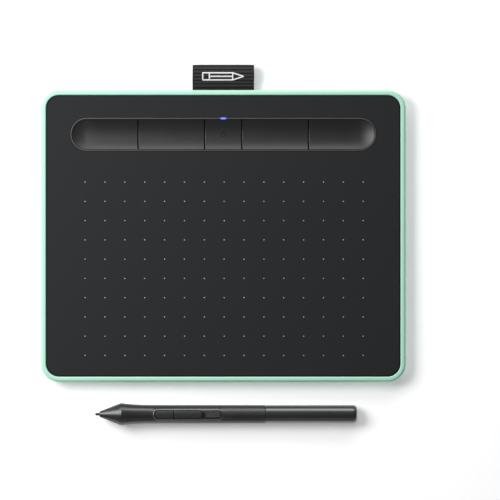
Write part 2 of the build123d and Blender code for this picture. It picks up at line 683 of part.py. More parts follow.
os.makedirs("parts", exist_ok=True)
for node, shape in tablet_parts().items():
    export_step(SET * shape, f"parts/{node}.step")
for node, shape in pen_parts().items():
    export_step(SET * pen_place() * shape, f"parts/{node}.step")
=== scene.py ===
import json
import math

import bpy
import numpy as np
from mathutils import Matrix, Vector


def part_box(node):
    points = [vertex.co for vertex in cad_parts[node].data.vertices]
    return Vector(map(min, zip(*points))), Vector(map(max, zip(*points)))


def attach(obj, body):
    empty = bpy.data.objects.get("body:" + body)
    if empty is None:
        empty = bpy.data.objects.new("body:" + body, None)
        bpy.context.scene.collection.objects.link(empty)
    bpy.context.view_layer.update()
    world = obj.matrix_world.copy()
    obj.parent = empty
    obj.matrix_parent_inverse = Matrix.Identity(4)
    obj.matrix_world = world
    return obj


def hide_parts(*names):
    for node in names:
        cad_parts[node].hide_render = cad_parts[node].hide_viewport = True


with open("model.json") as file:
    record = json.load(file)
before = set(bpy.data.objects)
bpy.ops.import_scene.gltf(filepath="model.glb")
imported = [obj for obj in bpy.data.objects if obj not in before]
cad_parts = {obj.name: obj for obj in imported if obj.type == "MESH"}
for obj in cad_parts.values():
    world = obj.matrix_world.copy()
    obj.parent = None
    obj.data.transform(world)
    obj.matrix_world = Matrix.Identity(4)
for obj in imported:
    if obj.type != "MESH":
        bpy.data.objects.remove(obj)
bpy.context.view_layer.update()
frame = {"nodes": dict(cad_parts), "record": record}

# A pen tablet and its pen. Everything is in metres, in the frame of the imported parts.
MM = 0.001


# ---------------------------------------------------------------- the maker's tools for finishes
class Signal:
    """A value, direction or colour inside a finish. Python's operators add its maths."""

    def __init__(self, finish, socket):
        self.finish, self.socket = finish, socket

    def maths(self, operation, *values):
        """The result of one Math node."""
        return self.finish.read("Math", {"operation": operation}, dict(enumerate(values)))

    def __add__(self, other):
        return self.maths("ADD", self, other)

    def __sub__(self, other):
        return self.maths("SUBTRACT", self, other)

    def __rsub__(self, other):
        return self.maths("SUBTRACT", other, self)

    def __mul__(self, other):
        return self.maths("MULTIPLY", self, other)

    def __pow__(self, power):
        return self.maths("POWER", self, power)

    def __abs__(self):
        return self.maths("ABSOLUTE", self)

    __radd__ = __add__
    __rmul__ = __mul__

    def sine(self):
        return self.maths("SINE", self)

    def lower(self, other):
        """Whichever of the two is lower."""
        return self.maths("MINIMUM", self, other)

    def higher(self, other):
        """Whichever of the two is higher."""
        return self.maths("MAXIMUM", self, other)

    def ramp(self, low, high):
        """0 below low, 1 above high and a smooth rise between; the other way round if low is above high."""
        sockets = {"Value": self, "From Min": low, "From Max": high}
        return self.finish.read("MapRange", {"interpolation_type": "SMOOTHSTEP"}, sockets)

    def band(self, centre, half, soft):
        """1 within half of centre, falling smoothly to 0 over soft."""
        return abs(self - centre).ramp(half + soft, half)


class Finish:
    """One material: a Principled surface, and whatever nodes feed what varies over it."""

    def __init__(self, name, **surface):
        self.material = bpy.data.materials.new(name)
        self.material.use_nodes = True
        self.tree = self.material.node_tree
        self.tree.nodes.clear()
        self.skin = self.add("BsdfPrincipled")
        self.add("OutputMaterial", {}, {"Surface": self.skin.outputs[0]})
        self.set(**surface)
        self.place = self.read("TexCoord", output="Object")
        self.x, self.y, self.z = self.axes(self.place)

    def add(self, kind, settings=None, sockets=None):
        """Any node: its type, its settings, then the values or links of its sockets."""
        made = self.tree.nodes.new("ShaderNode" + kind)
        for name, value in (settings or {}).items():
            setattr(made, name, value)
        for name, value in (sockets or {}).items():
            self.feed(made.inputs[name], value)
        return made

    def feed(self, socket, value):
        """Links a signal to a socket, or sets the socket to a plain number, direction or colour."""
        if isinstance(value, Signal):
            value = value.socket
        if isinstance(value, bpy.types.NodeSocket):
            self.tree.links.new(value, socket)
        elif socket.type == "RGBA":
            socket.default_value = (*value, 1.0)
        else:
            socket.default_value = value

    def read(self, kind, settings=None, sockets=None, output=0):
        """A node added for what comes out of it."""
        return Signal(self, self.add(kind, settings, sockets).outputs[output])

    def set(self, **surface):
        """Sockets of the Principled surface, written with underscores for spaces."""
        for name, value in surface.items():
            self.feed(self.skin.inputs[name.replace("_", " ")], value)
        return self

    def axes(self, vector):
        """The three values that a place is made of."""
        split = self.add("SeparateXYZ", {}, {0: vector})
        return [Signal(self, out) for out in split.outputs]

    def joined(self, x, y):
        """A level place made of two values."""
        return self.read("CombineXYZ", {}, {0: x, 1: y})

    def stretched(self, amounts):
        """The place, scaled by its own amount along each axis."""
        return self.read("VectorMath", {"operation": "MULTIPLY"}, {0: self.place, 1: amounts})

    def noise(self, size, detail=2.0, rough=0.5, vector=None):
        """Soft noise from 0 to 1 whose lumps are about the size given."""
        sockets = {"Vector": vector or self.place, "Scale": 1 / size, "Detail": detail, "Roughness": rough}
        return self.read("TexNoise", {}, sockets)

    def cells(self, size, feature="F1", vector=None):
        """Scattered cells about the size given: the distance from their middles, or from their edges."""
        sockets = {"Vector": vector or self.place, "Scale": 1 / size}
        return self.read("TexVoronoi", {"feature": feature}, sockets)

    def mix(self, share, first, second):
        """The first colour turning into the second as share goes from 0 to 1."""
        settings = {"data_type": "RGBA"}
        return self.read("Mix", settings, {0: share, 6: first, 7: second}, output=2)

    def relief(self, *layers):
        """Bumps laid one over another: pairs of a height from 0 to 1 and its real depth in metres."""
        normal = None
        for height, depth in layers:
            sockets = {"Height": height, "Distance": depth, "Strength": 1.0}
            if normal is not None:
                sockets["Normal"] = normal
            normal = self.read("Bump", {}, sockets)
        return self.set(Normal=normal)


def shade(colour, amount):
    """A colour made lighter or darker by a factor."""
    return tuple(min(1.0, channel * amount) for channel in colour)


# ---------------------------------------------------------------- the maker's tools for shapes
def mesh_piece(name, points, faces, finish, uv=None):
    """A mesh object from a table of points and a table of corner numbers, smooth shaded."""
    mesh = bpy.data.meshes.new(name)
    mesh.from_pydata(points.reshape(-1, 3), [], faces)
    mesh.polygons.foreach_set("use_smooth", np.ones(len(faces), bool))
    if uv is not None:
        layer = mesh.uv_layers.new(name="surface")
        corner = np.empty(len(mesh.loops), np.int32)
        mesh.loops.foreach_get("vertex_index", corner)
        layer.data.foreach_set("uv", uv.reshape(-1, 2)[corner].astype(np.float32).ravel())
    mesh.update()
    mesh.materials.append(finish.material)
    piece = bpy.data.objects.new(name, mesh)
    bpy.context.scene.collection.objects.link(piece)
    return piece


def grid_faces(rows, columns, closed=False):
    """Corner numbers of the squares of a grid of points; a closed grid's last column meets its first."""
    i = np.arange(rows - 1)[:, None]
    j = np.arange(columns if closed else columns - 1)[None, :]
    beside = (j + 1) % columns
    corners = [i * columns + j, (i + 1) * columns + j, (i + 1) * columns + beside, i * columns + beside]
    return np.stack(corners, -1).reshape(-1, 4)


def directions(points):
    """Unit directions along a flat line of points."""
    along = np.gradient(points, axis=0)
    return along / np.linalg.norm(along, axis=1, keepdims=True)


def lengths_along(points):
    """Distance along a line of points, from its first point."""
    steps = np.linalg.norm(np.diff(points, axis=0), axis=1)
    return np.concatenate([[0.0], np.cumsum(steps)])


def evenly(points, count):
    """The same line with its points an even distance apart."""
    run = lengths_along(points)
    at = np.linspace(0, run[-1], count)
    return np.stack([np.interp(at, run, points[:, k]) for k in range(points.shape[1])], -1)


# ---------------------------------------------------------------- places and sizes
def middle_of(node):
    """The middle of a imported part's box."""
    low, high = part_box(node)
    return (low + high) / 2


def size_of(node):
    """How wide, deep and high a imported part's box is."""
    low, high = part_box(node)
    return high - low


TABLET = middle_of("rear_cover")
CASE = size_of("rear_cover")
SHEET_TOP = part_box("surface_sheet")[1].z
LOOP_LOW, LOOP_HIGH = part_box("pen_loop")
REAR_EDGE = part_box("rear_cover")[1].y

CASE_CORNER = 10 * MM       # radius of the case's corners, seen from above
RIM_WIDTH = 2.8 * MM        # the mint rim round the black top
WELL_FLANGE = 1.8 * MM      # hidden rim of the frame round the keys, under the top cover
WELL_WALL = 0.9 * MM        # the part of that frame that shows
DISH_HALF = 8.1 * MM        # the dished keys: half the trough's width
DISH_DEPTH = 1.8 * MM
AREA_WIDE = 152.4 * MM      # the drawing area that the dots mark out
AREA_DEEP = 95.0 * MM
AREA_FORWARD = 18.0 * MM    # its middle lies this far in front of the tablet's
DOT_R = 0.30 * MM
RIB_PITCH = 1.9 * MM        # the woven ribbon
RIB_HEIGHT = 0.10 * MM
RIBBON_THICK = 0.80 * MM
MOTIF_REACH = 7.4 * MM      # from the case's rear edge to the middle of the stitched motif


# ---------------------------------------------------------------- finishes of the tablet
MINT = (0.43, 0.735, 0.59)
MINT_DEEP = (0.40, 0.71, 0.565)
SOOT = (0.0135, 0.014, 0.015)


def inset_from_edge(f):
    """How far inside the case's rounded outline a place is, seen from above.

    Measured from the box that the corners' centres span: the corner's radius, less the distance
    outside that box, plus the depth inside it."""
    across = abs(f.x - TABLET.x) - (CASE.x / 2 - CASE_CORNER)
    deep = abs(f.y - TABLET.y) - (CASE.y / 2 - CASE_CORNER)
    outside = (across.higher(0) ** 2 + deep.higher(0) ** 2) ** 0.5
    return CASE_CORNER - outside - across.higher(deep).lower(0)


def from_core(f, node, end_r):
    """Distance from the straight core of a long part with round ends of the radius given."""
    centre = middle_of(node)
    beyond = (abs(f.x - centre.x) - (size_of(node).x / 2 - end_r)).higher(0)
    return (beyond**2 + (f.y - centre.y) ** 2) ** 0.5


def mint_shell():
    """Moulded mint plastic with a fine spark-eroded grain, smoother on the narrow top of the rim.

    The rim's inner edge is painted paler as a highlight, and the narrow gap inside it is painted near-black
    as shade."""
    f = Finish("mint_shell", Specular_IOR_Level=0.4)
    inset = inset_from_edge(f)
    # painted shade: the narrow gap inside the rim is coloured near-black, as a shadowed slot would look
    painted_gap_shade = inset.ramp(RIM_WIDTH - 0.04 * MM, RIM_WIDTH + 0.08 * MM)
    painted_gap_shade = painted_gap_shade * f.z.ramp(SHEET_TOP - 2.4 * MM, SHEET_TOP - 2.0 * MM)
    # painted highlight: a paler band along the rim's inner edge, where its chamfer would catch the light
    painted_edge_highlight = inset.band(RIM_WIDTH - 0.25 * MM, 0.12 * MM, 0.25 * MM)
    rim = f.z.ramp(TABLET.z + 3.2 * MM, TABLET.z + 4.0 * MM)
    cloud = f.noise(22 * MM, 3)
    speck = f.noise(0.35 * MM, 2).ramp(0.55, 0.75)
    handled = f.noise(7 * MM, 4, 0.6)
    grain = f.noise(0.30 * MM, 3, 0.6) * (1 - rim * 0.7)
    colour = f.mix(speck * 0.10, f.mix(cloud, MINT, MINT_DEEP), shade(MINT, 1.25))
    colour = f.mix(painted_edge_highlight * rim * 0.5, colour, shade(MINT, 1.2))
    colour = f.mix(painted_gap_shade, colour, (0.006, 0.007, 0.0065))
    f.set(Base_Color=colour, Roughness=0.40 + handled * 0.12 - rim * 0.08)
    return f.relief((grain, 0.014 * MM), (f.noise(30 * MM, 1), 0.03 * MM))


def foot_rubber():
    """Mint rubber: a pebbled face, a moulded ring near the edge and a gate mark in the middle."""
    f = Finish("foot_rubber", Specular_IOR_Level=0.3)
    foot = middle_of("foot_rear_right")
    dx = abs(f.x - TABLET.x) - (foot.x - TABLET.x)
    dy = abs(f.y - TABLET.y) - (foot.y - TABLET.y)
    radius = (dx * dx + dy * dy) ** 0.5
    ring = radius.band(5.1 * MM, 0.12 * MM, 0.12 * MM)
    gate = radius.ramp(0.7 * MM, 0.5 * MM)
    dust = f.noise(1.2 * MM, 4, 0.7).ramp(0.5, 0.8)
    colour = f.mix(dust * 0.25, (0.45, 0.80, 0.62), (0.52, 0.72, 0.60))
    # painted shade: the moulded ring's groove is coloured darker
    colour = f.mix(ring * 0.35, colour, (0.30, 0.58, 0.44))
    f.set(Base_Color=colour, Roughness=0.66 + f.noise(3 * MM) * 0.16)
    return f.relief((f.cells(0.5 * MM), 0.02 * MM), (1 - ring.higher(gate), 0.12 * MM))


def drawing_film():
    """Black film with a paper-like tooth, a little polished where the hand and the pen have been."""
    f = Finish("drawing_film", Specular_IOR_Level=0.16)
    tooth = f.noise(0.16 * MM, 3, 0.65)
    cloud = f.noise(40 * MM, 3)
    stroke = f.noise(3 * MM, 3, vector=f.stretched((1.0, 0.12, 1.0))).ramp(0.6, 0.9)
    speck = f.noise(0.5 * MM, 2).ramp(0.74, 0.80)
    used = f.x.band(TABLET.x, 45 * MM, 40 * MM) * f.y.band(TABLET.y - AREA_FORWARD, 25 * MM, 30 * MM)
    colour = f.mix(tooth.ramp(0.35, 0.75), SOOT, shade(SOOT, 1.5))
    colour = f.mix(speck * 0.5, colour, shade(SOOT, 3.0))
    f.set(Base_Color=colour, Roughness=0.56 + cloud * 0.08 - used * 0.05 - stroke * 0.04)
    return f.relief((tooth, 0.012 * MM), (f.noise(0.6 * MM, 2), 0.01 * MM))


def cover_plastic():
    """Plain black moulded plastic; the flat top of the frame round the keys is smoother and painted paler
    as a highlight.
    """
    f = Finish("cover_plastic", Specular_IOR_Level=0.5)
    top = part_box("key_surround")[1].z
    end_r = size_of("key_surround").y / 2
    wall_r = end_r - WELL_FLANGE - WELL_WALL / 2
    # painted highlight: a pale line along the top of the frame round the keys
    painted_crown_highlight = from_core(f, "key_surround", end_r).band(wall_r, 0.12 * MM, 0.15 * MM)
    painted_crown_highlight = painted_crown_highlight * f.z.ramp(top - 0.2 * MM, top)
    cloud = f.noise(9 * MM, 3)
    colour = f.mix(cloud, (0.010, 0.010, 0.0105), (0.014, 0.014, 0.0145))
    colour = f.mix(painted_crown_highlight, colour, (0.085, 0.083, 0.083))
    f.set(Base_Color=colour, Roughness=0.38 + cloud * 0.12 - painted_crown_highlight * 0.1)
    return f.relief((f.noise(0.25 * MM, 2), 0.008 * MM))


def key_plastic():
    """Satin black keys, shinier along the bottom of the dish where fingers rub, duller at both ends."""
    f = Finish("key_plastic", Specular_IOR_Level=0.68)
    centre = middle_of("power_key")
    rubbed = f.y.band(centre.y, 2 * MM, 5 * MM)
    smear = f.noise(6 * MM, 4, 0.6, f.stretched((0.6, 1.0, 1.0)))
    colour = f.mix(f.noise(0.3 * MM, 2), (0.0070, 0.0066, 0.0068), (0.0110, 0.0105, 0.0108))
    ends = abs(f.x - centre.x).ramp(68 * MM, 82 * MM)
    f.set(Base_Color=colour, Roughness=0.38 - rubbed * 0.04 + smear * 0.06 + ends * 0.12)
    return f.relief((f.noise(0.22 * MM, 3, 0.6), 0.009 * MM))


def light_window():
    """The lit window: blue, whitest at its middle."""
    f = Finish("light_window", Roughness=0.25, Emission_Strength=1.0)
    window = middle_of("light_guide")
    core = abs(f.x - window.x).ramp(1.9 * MM, 0.4 * MM)
    lit = f.mix(core, (0.03, 0.04, 0.70), (0.28, 0.36, 0.95))
    return f.set(Base_Color=(0.02, 0.03, 0.15), Emission_Color=lit)


def printed_ink(name, tone, shine):
    """Grey printed ink of the tone and shine given, a little worn here and there."""
    f = Finish(name, Roughness=0.5, Specular_IOR_Level=shine)
    worn = f.noise(0.2 * MM, 3).ramp(0.3, 0.7)
    return f.set(Base_Color=f.mix(worn, (tone * 0.7,) * 3, (tone,) * 3))


def woven_ribbon():
    """Black ribbed weave: warp threads along the ribbon and fine weft over each rib.

    The ribbon's own map counts millimetres across it and along it. It is dark at the fold and at
    the case, where less light reaches it."""
    f = Finish("woven_ribbon", Specular_IOR_Level=0.15, Sheen_Weight=0.08, Sheen_Roughness=0.5)
    across, along, _ = f.axes(f.read("TexCoord", output="UV"))
    warp_pitch, weft_pitch, rib_pitch = 0.42, 0.21, RIB_PITCH / MM
    warp = abs((across * (math.pi / warp_pitch)).sine())
    weft = abs((along * (math.pi / weft_pitch) + warp.ramp(0.2, 0.8) * 1.5).sine())
    painted_rib_shade = abs((along * (math.pi / rib_pitch)).sine())
    fuzz = f.noise(0.15 * MM, 3, 0.7)
    # painted shade: valleys between ribs and between warp threads are coloured darker, their crests paler
    colour = f.mix(painted_rib_shade.ramp(0.3, 0.95) * 0.75 + warp * 0.25, (0.004, 0.004, 0.0045), (0.040, 0.0375, 0.039))
    colour = f.mix(fuzz.ramp(0.66, 0.9) * 0.3, colour, (0.08, 0.08, 0.082))
    fold = f.y.ramp(LOOP_HIGH.y - 1.8 * MM, LOOP_HIGH.y - 0.4 * MM)
    base = f.y.band(REAR_EDGE + 0.8 * MM, 0.5 * MM, 0.6 * MM)
    colour = f.mix(fold.higher(base) * 0.75, colour, (0.006, 0.005, 0.005))
    f.set(Base_Color=colour, Roughness=0.78 + fuzz * 0.15)
    return f.relief((warp * weft, 0.05 * MM), (fuzz, 0.03 * MM))


def motif_thread():
    """White satin-stitched thread, its strands lying across each stroke."""
    f = Finish("motif_thread", Specular_IOR_Level=0.3, Sheen_Weight=0.3)
    across, along, _ = f.axes(f.read("TexCoord", output="UV"))
    strand_pitch = 0.2
    strands_and_shade = abs((along * (math.pi / strand_pitch) + across * 2.0).sine())
    # painted shade: the grooves between strands are coloured grey, the strand crests white
    colour = f.mix(strands_and_shade, (0.55, 0.55, 0.56), (0.93, 0.93, 0.94))
    f.set(Base_Color=colour, Roughness=0.6 + strands_and_shade * 0.1)
    return f.relief((strands_and_shade, 0.04 * MM))


# ---------------------------------------------------------------- finishes of the pen
def pen_plastic():
    """Soft black plastic of the cone and the front barrel, polished where the fingers hold it."""
    f = Finish("pen_plastic", Specular_IOR_Level=0.85)
    held = f.x.band(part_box("front_barrel")[0].x + 18 * MM, 8 * MM, 14 * MM)
    cloud = f.noise(8 * MM, 3)
    colour = f.mix(cloud, (0.010, 0.010, 0.011), (0.015, 0.015, 0.016))
    f.set(Base_Color=colour, Roughness=0.33 + cloud * 0.08 - held * 0.06)
    return f.relief((f.noise(0.18 * MM, 3, 0.6), 0.008 * MM))


def pen_gloss():
    """Glossy rear barrel, with hairline scratches round it and a faint ripple from the mould."""
    f = Finish("pen_gloss", Specular_IOR_Level=0.9, Coat_Roughness=0.29)
    hairline = f.noise(0.5 * MM, 4, 0.7, f.stretched((4.0, 0.25, 0.25))).ramp(0.55, 0.8)
    cloud = f.noise(12 * MM, 2)
    colour = f.mix(cloud, (0.009, 0.009, 0.0095), (0.013, 0.013, 0.0135))
    f.set(Base_Color=colour, Roughness=0.29 + hairline * 0.10 + cloud * 0.05)
    f.set(Coat_Weight=1.0 - hairline * 0.3)
    return f.relief((f.noise(4 * MM, 1), 0.02 * MM))


def bezel_plastic():
    """Glossy black island whose edge is painted paler as a highlight; fine raised marks fill the flat
    behind the buttons.

    The marks are short waves along the pen, cut into rows, and each row starts at its own place."""
    f = Finish("bezel_plastic", Specular_IOR_Level=0.9)
    row_pitch, mark_pitch, label_back = 0.9 * MM, 0.7 * MM, 6.0 * MM
    cloud = f.noise(5 * MM, 3)
    dx = f.x - (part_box("button_bezel")[1].x - label_back)
    dy = f.y - middle_of("button_bezel").y
    patch = dx.band(0, 3.6 * MM, 0.3 * MM) * dy.band(0, 1.3 * MM, 0.2 * MM)
    rows = abs((dy * (math.pi / row_pitch)).sine()).ramp(0.35, 0.7)
    row_shift = (dy * 3000).sine() * 2
    wave = (dx * (2 * math.pi / mark_pitch) + row_shift).sine()
    marks = patch * rows * wave.ramp(-0.3, 0.2)
    end_r = size_of("button_bezel").y / 2
    # painted highlight: a paler band along the island's rounded top edge
    painted_edge_highlight = from_core(f, "button_bezel", end_r).band(end_r - 0.25 * MM, 0.10 * MM, 0.15 * MM)
    colour = f.mix(cloud, (0.010, 0.010, 0.011), (0.015, 0.015, 0.016))
    colour = f.mix(painted_edge_highlight, colour, (0.095, 0.095, 0.097))
    colour = f.mix(marks, colour, (0.045, 0.045, 0.047))
    f.set(Base_Color=colour, Roughness=0.22 + cloud * 0.10 + marks * 0.2)
    return f.relief((marks, 0.05 * MM), (f.noise(0.2 * MM, 2), 0.005 * MM))


def button_plastic():
    """Side buttons, worn a little shinier along their crown."""
    f = Finish("button_plastic", Specular_IOR_Level=0.5)
    top = middle_of("side_button_rear")
    worn = f.y.band(top.y, 0.6 * MM, 1.2 * MM)
    grain = f.noise(0.2 * MM, 3)
    colour = f.mix(grain, (0.022, 0.022, 0.023), (0.030, 0.030, 0.031))
    f.set(Base_Color=colour, Roughness=0.42 - worn * 0.10)
    return f.relief((grain, 0.006 * MM))


def nib_polymer():
    """Grey-black nib, rubbed paler at its very tip."""
    f = Finish("nib_polymer", Specular_IOR_Level=0.4)
    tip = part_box("nib")[0].x
    rubbed = f.x.ramp(tip + 0.8 * MM, tip)
    colour = f.mix(rubbed * 0.6, (0.035, 0.035, 0.036), (0.12, 0.12, 0.12))
    f.set(Base_Color=colour, Roughness=0.45 + rubbed * 0.2)
    return f.relief((f.noise(0.1 * MM, 2), 0.004 * MM))


# ---------------------------------------------------------------- finishes of what is inside
def plain_metal(name, colour, roughness):
    """Rolled or drawn metal with a grain that runs front to back."""
    f = Finish(name, Metallic=1.0)
    grains = f.noise(0.15 * MM, 3, vector=f.stretched((1.0, 0.05, 1.0)))
    stain = f.noise(4 * MM, 3).ramp(0.55, 0.85)
    tone = f.mix(grains, shade(colour, 0.85), colour)
    f.set(Base_Color=f.mix(stain * 0.3, tone, shade(colour, 0.6)), Roughness=roughness + grains * 0.15)
    return f.relief((grains, 0.006 * MM))


def plain_resin(name, colour, roughness):
    """Moulded resin or plastic with an even fine grain."""
    f = Finish(name)
    grains = f.noise(0.3 * MM, 3)
    tone = f.mix(grains, shade(colour, 0.8), shade(colour, 1.2))
    f.set(Base_Color=tone, Roughness=roughness + grains * 0.12)
    return f.relief((grains, 0.01 * MM))


def circuit_board():
    """Green solder mask, paler over the copper, which runs along the edges of cells, with tinned pads."""
    f = Finish("circuit_board", Specular_IOR_Level=0.5)
    flat = f.joined(f.x, f.y)
    track = f.cells(2.6 * MM, "DISTANCE_TO_EDGE", flat).ramp(0.10, 0.07)
    pad = f.cells(3.1 * MM, "F1", flat).ramp(0.13, 0.10)
    colour = f.mix(track, (0.006, 0.036, 0.018), (0.016, 0.075, 0.038))
    colour = f.mix(pad, colour, (0.62, 0.60, 0.52))
    f.set(Base_Color=colour, Roughness=0.35 - pad * 0.1, Metallic=pad * 0.9)
    return f.relief((track, 0.03 * MM))


def battery_foil():
    """Dull laminated foil, softly crumpled."""
    f = Finish("battery_foil", Metallic=0.7)
    crease = f.noise(5 * MM, 4, 0.6)
    colour = f.mix(crease, (0.42, 0.43, 0.45), (0.60, 0.61, 0.63))
    f.set(Base_Color=colour, Roughness=0.38 + crease * 0.15)
    return f.relief((crease, 0.15 * MM))


def flex_film():
    """Amber film over copper strips that run along it."""
    f = Finish("flex_film", Coat_Weight=0.4)
    strip = (f.x * (2 * math.pi / (1.0 * MM))).sine().ramp(-0.1, 0.2)
    f.set(Base_Color=f.mix(strip, (0.42, 0.17, 0.03), (0.66, 0.33, 0.12)), Roughness=0.32 + strip * 0.08)
    return f.relief((strip, 0.03 * MM))


def coil_copper():
    """Enamelled wire wound round the core."""
    f = Finish("coil_copper", Metallic=0.9, Coat_Weight=0.3)
    turn = abs((f.x * (math.pi / (0.18 * MM))).sine())
    # painted shade: the copper is coloured darker in the grooves between turns, paler on their crests
    f.set(Base_Color=f.mix(turn, (0.25, 0.08, 0.03), (0.72, 0.30, 0.13)), Roughness=0.28 + turn * 0.1)
    return f.relief((turn, 0.06 * MM))


def lead_insulation():
    """Red insulation of the battery's wires, a little uneven in tone."""
    f = Finish("lead_insulation", Specular_IOR_Level=0.4)
    cloud = f.noise(1.0 * MM, 1)
    f.set(Base_Color=f.mix(cloud, (0.36, 0.015, 0.015), (0.28, 0.01, 0.01)), Roughness=0.42 + cloud * 0.1)
    return f.relief((f.noise(0.3 * MM), 0.01 * MM))


# ---------------------------------------------------------------- the woven loop
def loop_line(count):
    """The ribbon's middle line, seen from its side, as (y, z) points an even distance apart.

    It runs out of the case along the upper ply, round the eye and back along the lower ply.
    The eye is a teardrop: y goes with 1 - cos(t) and z with sin(t) * sin(t / 2), so it leaves
    the case as a narrow wedge and ends round. At the case each ply lies half a ply off the middle."""
    inner_end, throat = LOOP_LOW.y, REAR_EDGE - 0.5 * MM
    skin = RIBBON_THICK / 2 + RIB_HEIGHT
    reach = LOOP_HIGH.y - skin - throat
    middle = (LOOP_LOW.z + LOOP_HIGH.z) / 2
    half_ply = (RIBBON_THICK + 0.08 * MM) / 2
    widest = 4 / 3 / math.sqrt(3)       # the highest value of sin(t) * sin(t / 2)
    swell = ((LOOP_HIGH.z - LOOP_LOW.z) / 2 - skin) / widest
    t = np.linspace(0, math.pi, 400)
    y = throat + reach * (1 - np.cos(t)) / 2
    rise = half_ply * (1 + np.cos(t)) / 2 + swell * np.sin(t) * np.sin(t / 2)
    upper = np.stack([np.append(inner_end, y), np.append(half_ply, rise)], -1)
    lower = (upper * (1, -1))[-2::-1]
    line = np.concatenate([upper, lower]) + (0, middle)
    return evenly(line, count)


def outward(line):
    """Unit directions square to a (y, z) line, on its left side as it is walked."""
    along = directions(line)
    return np.stack([-along[:, 1], along[:, 0]], -1)


def rib_shape(distance):
    """Height of the ribs along the ribbon, from 0 to 1: the power 0.6 of a sine without its sign,
    which has rounded tops and narrow valleys between them."""
    return np.abs(np.sin(np.pi * distance / RIB_PITCH)) ** 0.6


def loop_ribbon(finish):
    """A flat ribbon carried along its line: at each place a thin rounded strip, ribbed on both faces.

    The strip's section is an ellipse squared up by powers of its sine and cosine, and its middle
    wanders sideways by a few hundredths of a millimetre, as cloth does."""
    along, around = 420, 96
    line = loop_line(along)
    normal = outward(line)
    run = lengths_along(line)
    width = LOOP_HIGH.x - LOOP_LOW.x
    turn = np.linspace(0, 2 * np.pi, around, endpoint=False)
    across = np.sign(np.cos(turn)) * np.abs(np.cos(turn)) ** 0.45 * width / 2
    depth = np.sign(np.sin(turn)) * np.abs(np.sin(turn)) ** 0.22
    half = RIBBON_THICK / 2 + RIB_HEIGHT * (rib_shape(run) - 0.5)
    wander = 0.06 * MM * np.sin(run / (7 * MM)) * np.sin(run / (2.9 * MM))
    x = np.broadcast_to(across, (along, around)) + (middle_of("pen_loop").x + wander)[:, None]
    offset = half[:, None] * depth[None, :]
    y = line[:, :1] + normal[:, :1] * offset
    z = line[:, 1:] + normal[:, 1:] * offset
    points = np.stack([x, y, z], -1)
    uv = np.stack([np.broadcast_to(across, x.shape), np.broadcast_to(run[:, None], x.shape)], -1) / MM
    faces = grid_faces(along, around, closed=True).tolist()
    faces += [list(range(around))[::-1], list(range((along - 1) * around, along * around))]
    ribbon = mesh_piece("loop_ribbon", points, faces, finish, uv)
    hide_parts("pen_loop")
    return ribbon


def top_of_loop(y):
    """Height of the ribbon's upper outer face at each y."""
    line = loop_line(800)
    outer = line + outward(line) * (RIBBON_THICK / 2 + RIB_HEIGHT / 2)
    upper = outer[: len(outer) // 2]
    return np.interp(y, upper[:, 0], upper[:, 1])


def stitched_stroke(corners):
    """A raised half-round band of thread along straight strokes on top of the loop.

    Its section is a half circle flattened to the thread's height; it follows the ribbon's own height."""
    width, height, sunk = 0.75 * MM, 0.20 * MM, 0.03 * MM
    steps, section = 90, 9
    line = evenly(np.array(corners, float) * MM, steps)
    along = directions(line)
    side = np.stack([along[:, 1], -along[:, 0]], -1)
    turn = np.linspace(0, np.pi, section)
    x = line[:, :1] + side[:, :1] * np.cos(turn) * width / 2 + middle_of("pen_loop").x
    y = line[:, 1:] + side[:, 1:] * np.cos(turn) * width / 2 + REAR_EDGE + MOTIF_REACH
    z = top_of_loop(y) - sunk + height * np.sin(turn)
    run = np.broadcast_to(lengths_along(line)[:, None] / MM, x.shape)
    uv = np.stack([np.broadcast_to(turn, x.shape), run], -1)
    return np.stack([x, y, z], -1), uv


def loop_motif(finish):
    """A plain pencil in outline, stitched on the loop: body, sharpened end, collar and eraser.

    Its strokes are given in millimetres from its middle."""
    body_end, point, tall, collar = 5.2, 11.2, 1.95, -7.6
    strokes = [
        [(-point, -tall), (body_end, -tall), (point, 0), (body_end, tall), (-point, tall), (-point, -tall)],
        [(collar, -tall), (collar, tall)],
        [(body_end, tall), (body_end, -tall)],
        [(collar, 0), (body_end, 0)],
    ]
    parts = [stitched_stroke(stroke) for stroke in strokes]
    points = np.concatenate([p.reshape(-1, 3) for p, _ in parts])
    uv = np.concatenate([u.reshape(-1, 2) for _, u in parts])
    faces, start = [], 0
    for p, _ in parts:
        faces.append(grid_faces(*p.shape[:2]) + start)
        start += p.shape[0] * p.shape[1]
    return mesh_piece("loop_motif", points, np.concatenate(faces).tolist(), finish, uv)


